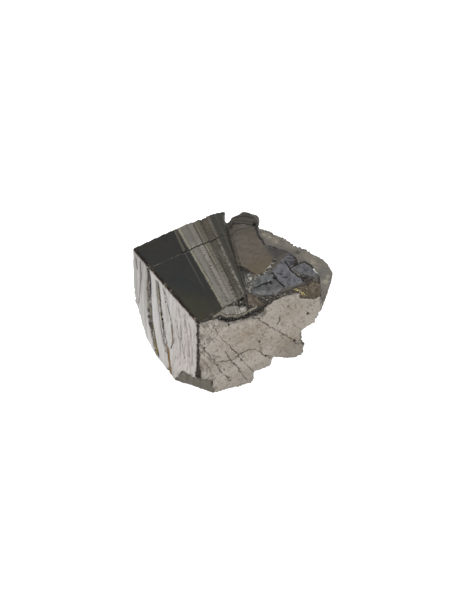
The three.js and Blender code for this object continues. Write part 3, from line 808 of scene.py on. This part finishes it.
relief(dark_spot, -0.15, (46, 44, 42), 0.5, 0.2, 0.8)
# the dark upright break between the plateau and the shelf
break_wall = within(z, 10.4, 14.6, 0.3) * step_up(x, 3.0, 3.6) * step_down(np.abs(normals[:, 2]), 0.5, 0.8)
break_wall *= (1 - front) * step_down(x - 0.35 * y, 12.4, 13.4)
relief(break_wall, 0.25, (36, 32, 28), 0.6, 0.05, 0.8)

# ---- Putting the cuts and colours on the surface -------------------------
# Every point moves once, outward or inward, by what the sections above added
# up to. Nothing goes below the flat base or outside the stone's own box.

# where the shader draws a rough broken surface
crumbly = np.clip(0.5 * hidden + 0.6 * ribs + band + 0.5 * hollow + 0.4 * shelf + 0.5 * blocks, 0, 1)
lift *= 1 - on_base
points = points + normals * lift[:, None]
points = np.clip(points, np.array(low) / MM - shift, np.array(high) / MM - shift)
stone.data.vertices.foreach_set("co", ((points + shift) * MM).ravel())
stone.data.update()

for name, values in (
    ("matt", matt), ("metal", metal), ("streaky", streaky), ("scaly", scaly), ("crumbly", crumbly),
):
    layer = stone.data.attributes.new(name, "FLOAT", "POINT")
    layer.data.foreach_set("value", values)
layer = stone.data.attributes.new("tint", "FLOAT_COLOR", "POINT")
layer.data.foreach_set("color", np.column_stack([tint, np.ones(len(tint))]).ravel())

bpy.data.objects.remove(guide)
pick(stone)
bpy.ops.object.shade_smooth_by_angle(angle=math.radians(50))

# ---- The mineral itself --------------------------------------------------
# Glassy carbon with a pewter shine. The colours come from the cut surface, and
# finer streaks, scales, specks and grains are laid over them here.


class Wire:
    """One output of a shader node, so that sums can be written as in algebra."""

    tree = None

    def __init__(self, socket):
        self.socket = socket

    @classmethod
    def node(cls, kind, settings=None, inputs=None, output=0):
        """Adds a node, sets it up, feeds its sockets and gives one output."""
        made = cls.tree.nodes.new(kind)
        for name, value in (settings or {}).items():
            setattr(made, name, value)
        for name, value in (inputs or {}).items():
            if isinstance(value, Wire):
                cls.tree.links.new(value.socket, made.inputs[name])
            else:
                made.inputs[name].default_value = value
        return cls(made.outputs[output])

    def combine(self, operation, first, second):
        return Wire.node("ShaderNodeMath", {"operation": operation}, {0: first, 1: second})

    def __add__(self, other):
        return self.combine("ADD", self, other)

    def __rsub__(self, other):
        return self.combine("SUBTRACT", other, self)

    def __mul__(self, other):
        return self.combine("MULTIPLY", self, other)

    __radd__ = __add__
    __rmul__ = __mul__


def attribute(name, output="Fac"):
    return Wire.node("ShaderNodeAttribute", {"attribute_name": name}, output=output)


def rise(value, start, end):
    """0 below start, 1 above end, smooth between."""
    ranges = {"Value": value, "From Min": start, "From Max": end}
    return Wire.node("ShaderNodeMapRange", {"interpolation_type": "SMOOTHSTEP"}, ranges)


def mottle(vector, scale, detail, roughness):
    """Cloudy noise from 0 to 1 along a vector."""
    inputs = {"Vector": vector, "Scale": scale, "Detail": detail, "Roughness": roughness}
    return Wire.node("ShaderNodeTexNoise", inputs=inputs, output="Fac")


def stretched(vector, turn, stretch):
    """The vector turned about each axis, in degrees, then stretched."""
    rotation = tuple(math.radians(angle) for angle in turn)
    turned = Wire.node(
        "ShaderNodeMapping", {"vector_type": "POINT"}, {"Vector": vector, "Rotation": rotation}
    )
    return Wire.node("ShaderNodeVectorMath", {"operation": "MULTIPLY"}, {0: turned, 1: stretch})


def blend(share, first, second, kind="MIX"):
    """Two colours mixed by a share."""
    settings = {"data_type": "RGBA", "blend_type": kind}
    return Wire.node("ShaderNodeMix", settings, {0: share, 6: first, 7: second}, output=2)


material = bpy.data.materials.new("shungite")
material.use_nodes = True
Wire.tree = material.node_tree
shader = material.node_tree.nodes["Principled BSDF"]
shader.inputs["Specular IOR Level"].default_value = 0.2

place = Wire.node("ShaderNodeTexCoord", output="Object")
in_mm = Wire.node("ShaderNodeVectorMath", {"operation": "SCALE"}, {0: place, "Scale": 1 / MM})
left_turn = -math.degrees(math.atan2(left_run[1], left_run[0]))
left_grain = stretched(in_mm, (0, 0, left_turn), (1.0, 0.1, 0.13))
streaks = mottle(left_grain, 4.6, 3.0, 0.55)
fine_streaks = mottle(left_grain, 8.0, 2.0, 0.5)
slanted = stretched(in_mm, (0, 32, 0), (1.0, 1.0, 0.34))
scale_marks = mottle(slanted, 3.4, 3.0, 0.6)
grains = mottle(in_mm, 5.5, 4.0, 0.6)
specks = mottle(in_mm, 3.0, 2.0, 0.55)
cloudy = mottle(in_mm, 0.9, 3.0, 0.55)

streaky, scaly, crumbly = (attribute(name) for name in ("streaky", "scaly", "crumbly"))
dark = (0.08, 0.07, 0.06, 1)
pale = (1, 1, 1, 1)
tone = 0.86 + 0.28 * cloudy
grey_tone = Wire.node("ShaderNodeCombineColor", inputs={0: tone, 1: tone, 2: tone})
shaded = blend(1.0, attribute("tint", "Color"), grey_tone, "MULTIPLY")
MARKS = [  # where, pattern, the values it rises between, strength, colour
    (streaky, streaks, 0.54, 0.68, 0.3, dark),
    (streaky, fine_streaks, 0.57, 0.67, 0.6, dark),
    (streaky, 1 - streaks, 0.56, 0.7, 0.12, pale),
    (scaly, scale_marks, 0.53, 0.64, 0.5, dark),
    (scaly, grains, 0.53, 0.66, 0.6, dark),
    (scaly, specks, 0.6, 0.68, 0.75, dark),
    (scaly, 1 - specks, 0.6, 0.75, 0.06, pale),
    (crumbly, grains, 0.56, 0.7, 0.45, dark),
    (crumbly, 1 - grains, 0.58, 0.7, 0.16, pale),
]
for where, pattern, start, end, strength, shade in MARKS:
    shaded = blend(where * rise(pattern, start, end) * strength, shaded, shade)
roughness = attribute("matt") * (0.8 + 0.4 * grains)

height = streaky * streaks * 0.5 + scaly * scale_marks * 0.5 + crumbly * grains + 0.12 * grains
bump = Wire.node("ShaderNodeBump", inputs={"Strength": 0.35, "Distance": 0.1 * MM, "Height": height})
for value, socket in (
    (shaded, "Base Color"), (roughness, "Roughness"), (attribute("metal"), "Metallic"), (bump, "Normal"),
):
    Wire.tree.links.new(value.socket, shader.inputs[socket])
stone.data.materials.append(material)

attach(stone, "root")
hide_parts("shungite_stone")

# ---- The pyrite grains ---------------------------------------------------
# A cluster of tiny brassy cubes, iron sulphide, that grew in the rusty hollow
# at the right end of the broken edge. They are half sunk in the shungite.

GRAINS = [  # x, y, size in mm, turn in degrees
    (9.35, -6.75, 0.3, 20), (9.5, -7.1, 0.36, 55), (9.7, -7.5, 0.3, 10), (9.65, -6.6, 0.24, 70),
    (9.9, -7.0, 0.26, 35), (10.05, -7.35, 0.24, 80), (10.25, -6.9, 0.3, 5), (10.5, -6.7, 0.24, 50),
    (10.1, -6.55, 0.2, 25), (10.7, -6.9, 0.18, 60), (10.4, -7.2, 0.18, 15), (9.95, -7.65, 0.2, 40),
    (11.5, -6.2, 0.13, 30), (11.0, -7.1, 0.14, 45),
]
bpy.context.view_layer.update()
cubes = []
for across, along, size, turn in GRAINS:
    above = Vector(((across + shift[0]) * MM, (along + shift[1]) * MM, 20 * MM))
    spot = stone.ray_cast(above, Vector((0, 0, -1)))[1]
    bpy.ops.mesh.primitive_cube_add(
        size=size * MM,
        location=spot + Vector((0, 0, 0.12 * size * MM)),
        rotation=(math.radians(turn), math.radians(turn * 0.6), math.radians(turn * 1.7)),
    )
    cubes.append(bpy.context.object)
pick(*cubes)
bpy.ops.object.join()
pyrite = cubes[0]
pyrite.name = "pyrite_grains"
bpy.ops.object.transform_apply(location=True, rotation=True, scale=True)
bevel = pyrite.modifiers.new("worn corners", "BEVEL")
bevel.width = 0.03 * MM
bevel.segments = 2
bpy.ops.object.modifier_apply(modifier=bevel.name)
bpy.ops.object.shade_smooth_by_angle(angle=math.radians(30))

brass = bpy.data.materials.new("pyrite")
brass.use_nodes = True
Wire.tree = brass.node_tree
shader = brass.node_tree.nodes["Principled BSDF"]
shader.inputs["Metallic"].default_value = 1.0
place = Wire.node("ShaderNodeTexCoord", output="Object")
tarnish = mottle(place, 4.0 / MM, 3.0, 0.6)
brassy = blend(rise(tarnish, 0.35, 0.65), (0.72, 0.62, 0.32, 1), (0.40, 0.32, 0.15, 1))
Wire.tree.links.new(brassy.socket, shader.inputs["Base Color"])
Wire.tree.links.new((0.22 + 0.25 * tarnish).socket, shader.inputs["Roughness"])
bump = Wire.node("ShaderNodeBump", inputs={"Strength": 0.2, "Distance": 0.02 * MM, "Height": tarnish})
Wire.tree.links.new(bump.socket, shader.inputs["Normal"])
pyrite.data.materials.append(brass)
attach(pyrite, "root")

# ---- Floor, light and camera ---------------------------------------------
# A bright white sheet under the stone, which its sides mirror, a dark space
# above it, which its glassy top mirrors, and one soft light overhead.

bpy.ops.mesh.primitive_plane_add(size=6.0)
floor = bpy.context.object
floor.name = "white_sheet"
sheet = bpy.data.materials.new("white sheet")
sheet.use_nodes = True
finish = sheet.node_tree.nodes["Principled BSDF"]
finish.inputs["Base Color"].default_value = (0.3, 0.3, 0.3, 1)
finish.inputs["Roughness"].default_value = 0.9
finish.inputs["Emission Color"].default_value = (1, 1, 1, 1)
finish.inputs["Emission Strength"].default_value = 1.1
floor.data.materials.append(sheet)

world = bpy.data.worlds.new("studio")
bpy.context.scene.world = world
world.use_nodes = True
Wire.tree = world.node_tree
sky = Wire.node("ShaderNodeTexCoord", output="Generated")
sky_height = Wire.node("ShaderNodeSeparateXYZ", inputs={0: sky}, output="Z")
backdrop = blend(rise(sky_height, 0.30, 0.50), (1.3, 1.3, 1.3, 1), (0.10, 0.10, 0.11, 1))
Wire.tree.links.new(backdrop.socket, world.node_tree.nodes["Background"].inputs["Color"])

lamp_data = bpy.data.lights.new("overhead softbox", "AREA")
lamp_data.size = 0.25
lamp_data.energy = 2.2
lamp = bpy.data.objects.new("overhead softbox", lamp_data)
lamp.location = (0, -0.05, 0.4)
lamp.rotation_euler = (math.radians(-7), 0, 0)
bpy.context.scene.collection.objects.link(lamp)

CAMERA_RISE = math.radians(38)  # how steeply the camera looks down
CAMERA_DISTANCE = 0.375  # in m, from the middle of the stone
back = Vector((0, -math.cos(CAMERA_RISE), math.sin(CAMERA_RISE)))
target = Vector((shift[0] * MM, shift[1] * MM, TOP / 2 * MM))
camera_data = bpy.data.cameras.new("camera")
camera_data.lens = 150
camera_data.sensor_width = 36
camera_data.clip_start = 0.01
camera = bpy.data.objects.new("camera", camera_data)
bpy.context.scene.collection.objects.link(camera)
camera.location = target + back * CAMERA_DISTANCE
camera.rotation_mode = "QUATERNION"
camera.rotation_quaternion = (-back).to_track_quat("-Z", "Y")
bpy.context.scene.camera = camera
bpy.context.scene.view_settings.view_transform = "Standard"
